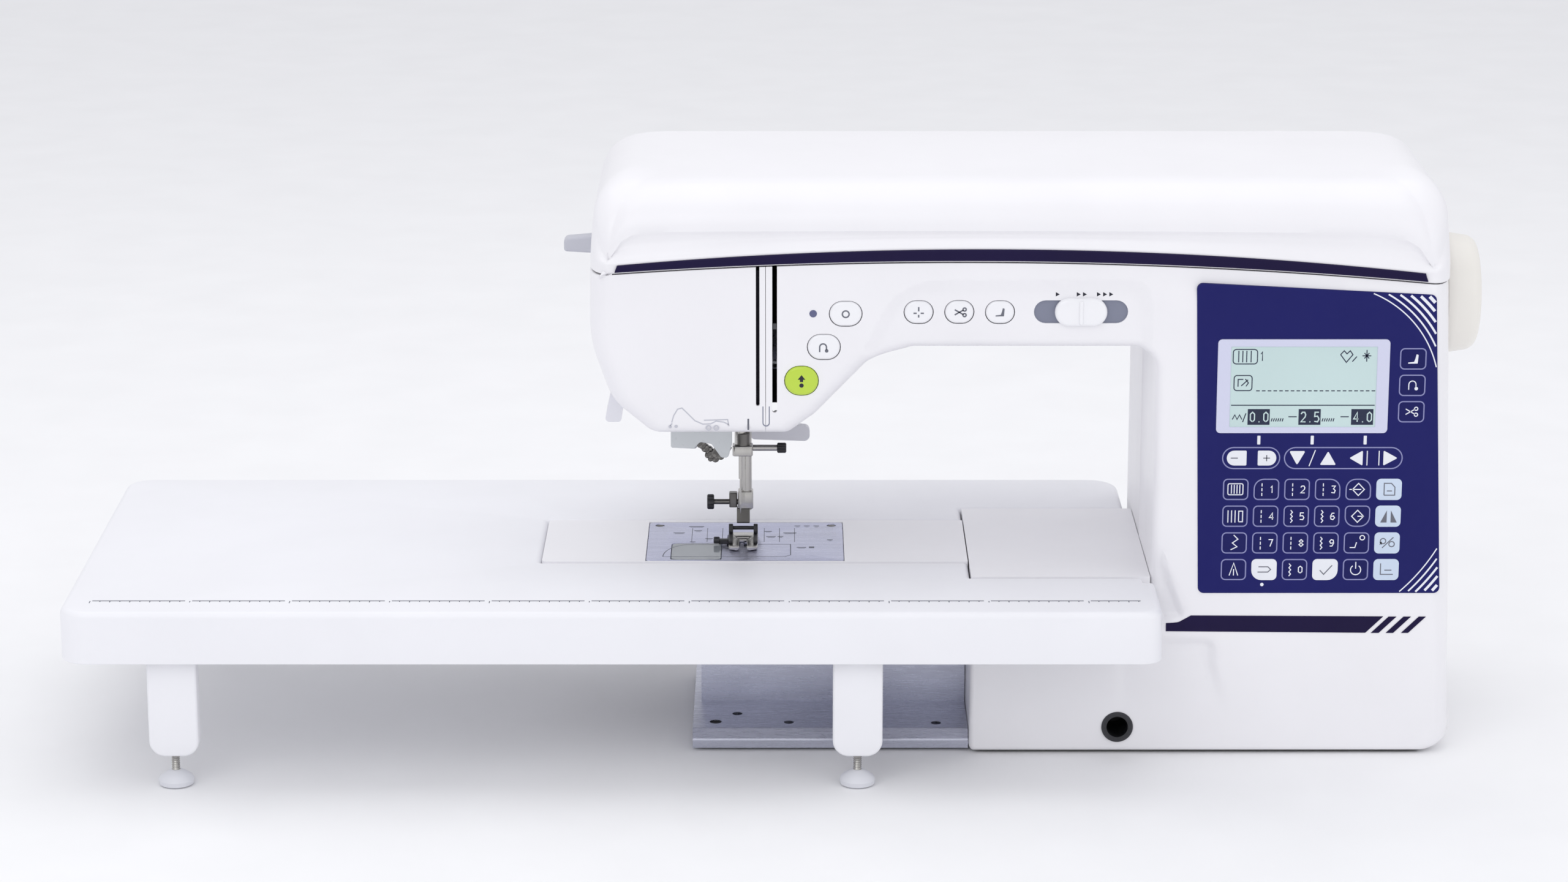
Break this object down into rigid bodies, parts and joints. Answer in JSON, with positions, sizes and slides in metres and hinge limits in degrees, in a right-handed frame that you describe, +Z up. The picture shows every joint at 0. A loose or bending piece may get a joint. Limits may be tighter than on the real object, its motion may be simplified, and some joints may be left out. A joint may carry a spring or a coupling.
{
  "type": "sewing machine",
  "caption": "Computerised household sewing machine: head, arm and column over a free arm, with a keyed display panel and a wide legged extension table.",
  "frame": {"origin": "middle of the footprint, on the surface the machine stands on", "axes": "+X to the operator's right, towards the handwheel; +Y away from the operator; +Z up"},
  "size_m": [0.718, 0.25, 0.3],
  "materials": {
    "housing_white": "satin moulded plastic",
    "table_white": "satin moulded plastic",
    "foot_grey": "moulded plastic",
    "trim_grey": "satin moulded plastic",
    "wheel_white": "fine texture",
    "base_grey": "satin",
    "rubber_black": "matt",
    "cast_alloy": "as cast",
    "screw_steel": "ground",
    "motor_black": "satin",
    "bright_steel": "polished",
    "plate_steel": "polished and engraved",
    "black_knob": "satin",
    "clear_plastic": "clear plastic",
    "button_white": "satin",
    "button_green": "satin",
    "panel_blue": "printed film",
    "display": "display window",
    "board_green": "laminate",
    "accent_purple": "satin"
  },
  "bodies": {
    "machine": {"front_housing": "housing_white", "rear_housing": "housing_white", "face_cover": "housing_white", "bed_cover": "housing_white", "free_arm_cover": "housing_white", "thread_cutter": "trim_grey", "spool_pin": "trim_grey", "base_plate": "base_grey", "rubber_feet": "rubber_black", "drive_belts": "rubber_black", "chassis": "cast_alloy", "housing_screws": "screw_steel", "motor": "motor_black", "needle_plate": "plate_steel", "power_inlet": "black_knob", "knee_lifter_socket": "black_knob", "bobbin_case": "black_knob", "control_panel": "panel_blue", "lcd_screen": "display", "circuit_board": "board_green"},
    "table": {"extension_table": "table_white"},
    "leg_front_left": {"table_leg_front_left": "table_white"},
    "leg_front_right": {"table_leg_front_right": "table_white"},
    "leg_rear_left": {"table_leg_rear_left": "table_white"},
    "leg_rear_right": {"table_leg_rear_right": "table_white"},
    "foot_front_left": {"table_foot_front_left": "foot_grey"},
    "foot_front_right": {"table_foot_front_right": "foot_grey"},
    "foot_rear_left": {"table_foot_rear_left": "foot_grey"},
    "foot_rear_right": {"table_foot_rear_right": "foot_grey"},
    "lid": {"top_lid": "housing_white", "accent_strip": "accent_purple"},
    "handle": {"carry_handle": "trim_grey"},
    "upper_drive": {"main_shaft": "screw_steel", "handwheel": "wheel_white"},
    "lower_drive": {"lower_shaft": "screw_steel"},
    "hook": {"rotary_hook": "screw_steel"},
    "motor_rotor": {"motor_pulley": "screw_steel"},
    "bobbin": {"bobbin": "clear_plastic"},
    "bobbin_hatch": {"bobbin_cover": "clear_plastic"},
    "feed": {"feed_dogs": "screw_steel"},
    "needle_unit": {"needle_bar": "bright_steel", "needle_clamp": "bright_steel", "needle": "bright_steel"},
    "clamp_screw": {"needle_clamp_screw": "black_knob"},
    "presser_unit": {"presser_bar": "bright_steel", "foot_holder": "bright_steel", "presser_foot": "bright_steel"},
    "holder_screw": {"foot_holder_screw": "black_knob"},
    "presser_lift": {"presser_lever": "screw_steel"},
    "take_up": {"take_up_lever": "screw_steel"},
    "threader": {"needle_threader": "trim_grey"},
    "winder": {"bobbin_winder": "trim_grey"},
    "tie_off": {"tie_off_button": "button_white"},
    "reverse": {"reverse_button": "button_white"},
    "start_stop": {"start_stop_button": "button_green"},
    "needle_position": {"needle_position_button": "button_white"},
    "cutter": {"cutter_button": "button_white"},
    "presser_key": {"presser_button": "button_white"},
    "speed": {"speed_slider": "button_white"},
    "mains_switch": {"power_switch": "black_knob"}
  },
  "joints": [
    {"name": "table_slide", "type": "slide", "parent": "machine", "child": "table", "axis": [-1, 0, 0], "range_m": [0, 0.25]},
    {"name": "fold_front_left_leg", "type": "hinge", "parent": "table", "child": "leg_front_left", "pos_m": [-0.304, -0.1125, 0.076], "axis": [0, -1, 0], "range_deg": [0, 90]},
    {"name": "screw_front_left_foot", "type": "slide", "parent": "leg_front_left", "child": "foot_front_left", "axis": [0, 0, 1], "range_m": [0, 0.006]},
    {"name": "fold_front_right_leg", "type": "hinge", "parent": "table", "child": "leg_front_right", "pos_m": [0.0394, -0.1125, 0.076], "axis": [0, 1, 0], "range_deg": [0, 90]},
    {"name": "screw_front_right_foot", "type": "slide", "parent": "leg_front_right", "child": "foot_front_right", "axis": [0, 0, 1], "range_m": [0, 0.006]},
    {"name": "fold_rear_left_leg", "type": "hinge", "parent": "table", "child": "leg_rear_left", "pos_m": [-0.304, 0.1125, 0.076], "axis": [0, -1, 0], "range_deg": [0, 90]},
    {"name": "screw_rear_left_foot", "type": "slide", "parent": "leg_rear_left", "child": "foot_rear_left", "axis": [0, 0, 1], "range_m": [0, 0.006]},
    {"name": "fold_rear_right_leg", "type": "hinge", "parent": "table", "child": "leg_rear_right", "pos_m": [0.0394, 0.1125, 0.076], "axis": [0, 1, 0], "range_deg": [0, 90]},
    {"name": "screw_rear_right_foot", "type": "slide", "parent": "leg_rear_right", "child": "foot_rear_right", "axis": [0, 0, 1], "range_m": [0, 0.006]},
    {"name": "lid_hinge", "type": "hinge", "parent": "machine", "child": "lid", "pos_m": [0.021, 0.0851, 0.263], "axis": [-1, 0, 0], "range_deg": [0, 80]},
    {"name": "handle_hinge", "type": "hinge", "parent": "machine", "child": "handle", "pos_m": [0.051, 0.1035, 0.24], "axis": [1, 0, 0], "range_deg": [0, 180]},
    {"name": "handwheel_spin", "type": "hinge", "parent": "machine", "child": "upper_drive", "pos_m": [-0.019, 0.0025, 0.228], "axis": [1, 0, 0], "continuous": true},
    {"name": "lower_shaft_spin", "type": "hinge", "parent": "machine", "child": "lower_drive", "pos_m": [-0.019, 0.0085, 0.056], "axis": [1, 0, 0], "continuous": true},
    {"name": "hook_spin", "type": "hinge", "parent": "machine", "child": "hook", "pos_m": [-0.035, -0.0135, 0.06], "axis": [0, 0, 1], "continuous": true},
    {"name": "motor_spin", "type": "hinge", "parent": "machine", "child": "motor_rotor", "pos_m": [0.281, 0.0575, 0.06], "axis": [1, 0, 0], "continuous": true},
    {"name": "bobbin_spin", "type": "hinge", "parent": "machine", "child": "bobbin", "pos_m": [-0.035, -0.0135, 0.075], "axis": [0, 0, 1], "continuous": true},
    {"name": "bobbin_cover_lift", "type": "slide", "parent": "machine", "child": "bobbin_hatch", "axis": [0, 0, 1], "range_m": [0, 0.015]},
    {"name": "feed_drop", "type": "slide", "parent": "machine", "child": "feed", "axis": [0, 0, -1], "range_m": [0, 0.0025], "stiffness_N_per_m": 200, "springref_m": -0.002},
    {"name": "needle_bar_slide", "type": "slide", "parent": "machine", "child": "needle_unit", "axis": [0, 0, -1], "range_m": [0, 0.033]},
    {"name": "clamp_screw_turn", "type": "hinge", "parent": "needle_unit", "child": "clamp_screw", "pos_m": [-0.009, 0.0025, 0.1446], "axis": [1, 0, 0], "range_deg": [0, 360]},
    {"name": "presser_slide", "type": "slide", "parent": "machine", "child": "presser_unit", "axis": [0, 0, 1], "range_m": [0, 0.008]},
    {"name": "holder_screw_turn", "type": "hinge", "parent": "presser_unit", "child": "holder_screw", "pos_m": [-0.029, 0.0145, 0.112], "axis": [-1, 0, 0], "range_deg": [0, 360]},
    {"name": "presser_lever_turn", "type": "hinge", "parent": "machine", "child": "presser_lift", "pos_m": [-0.011, 0.0425, 0.177], "axis": [0, -1, 0], "range_deg": [0, 35]},
    {"name": "take_up_turn", "type": "hinge", "parent": "machine", "child": "take_up", "pos_m": [-0.0023, -0.0315, 0.2], "axis": [1, 0, 0], "range_deg": [-35, 20]},
    {"name": "threader_slide", "type": "slide", "parent": "machine", "child": "threader", "axis": [0, 0, -1], "range_m": [0, 0.025], "stiffness_N_per_m": 30, "springref_m": -0.03},
    {"name": "winder_shift", "type": "slide", "parent": "machine", "child": "winder", "axis": [1, 0, 0], "range_m": [0, 0.005]},
    {"name": "tie_off_press", "type": "slide", "parent": "machine", "child": "tie_off", "axis": [0, 1, 0], "range_m": [0, 0.0013], "stiffness_N_per_m": 600, "springref_m": -0.0005},
    {"name": "reverse_press", "type": "slide", "parent": "machine", "child": "reverse", "axis": [0, 1, 0], "range_m": [0, 0.0013], "stiffness_N_per_m": 600, "springref_m": -0.0005},
    {"name": "start_stop_press", "type": "slide", "parent": "machine", "child": "start_stop", "axis": [0, 1, 0], "range_m": [0, 0.0013], "stiffness_N_per_m": 600, "springref_m": -0.0005},
    {"name": "needle_position_press", "type": "slide", "parent": "machine", "child": "needle_position", "axis": [0, 1, 0], "range_m": [0, 0.0013], "stiffness_N_per_m": 600, "springref_m": -0.0005},
    {"name": "cutter_press", "type": "slide", "parent": "machine", "child": "cutter", "axis": [0, 1, 0], "range_m": [0, 0.0013], "stiffness_N_per_m": 600, "springref_m": -0.0005},
    {"name": "presser_key_press", "type": "slide", "parent": "machine", "child": "presser_key", "axis": [0, 1, 0], "range_m": [0, 0.0013], "stiffness_N_per_m": 600, "springref_m": -0.0005},
    {"name": "speed_slide", "type": "slide", "parent": "machine", "child": "speed", "axis": [1, 0, 0], "range_m": [-0.0095, 0.0095]},
    {"name": "mains_switch_rock", "type": "hinge", "parent": "machine", "child": "mains_switch", "pos_m": [0.3356, -0.0095, 0.051], "axis": [0, 1, 0], "range_deg": [-10, 10]}
  ],
  "couplings": [
    {"joint": "lower_shaft_spin", "follows": "handwheel_spin", "ratio": 1},
    {"joint": "hook_spin", "follows": "handwheel_spin", "ratio": 2},
    {"joint": "motor_spin", "follows": "handwheel_spin", "ratio": 3.6667},
    {"joint": "presser_slide", "follows": "presser_lever_turn", "m_per_rad": 0.013}
  ]
}
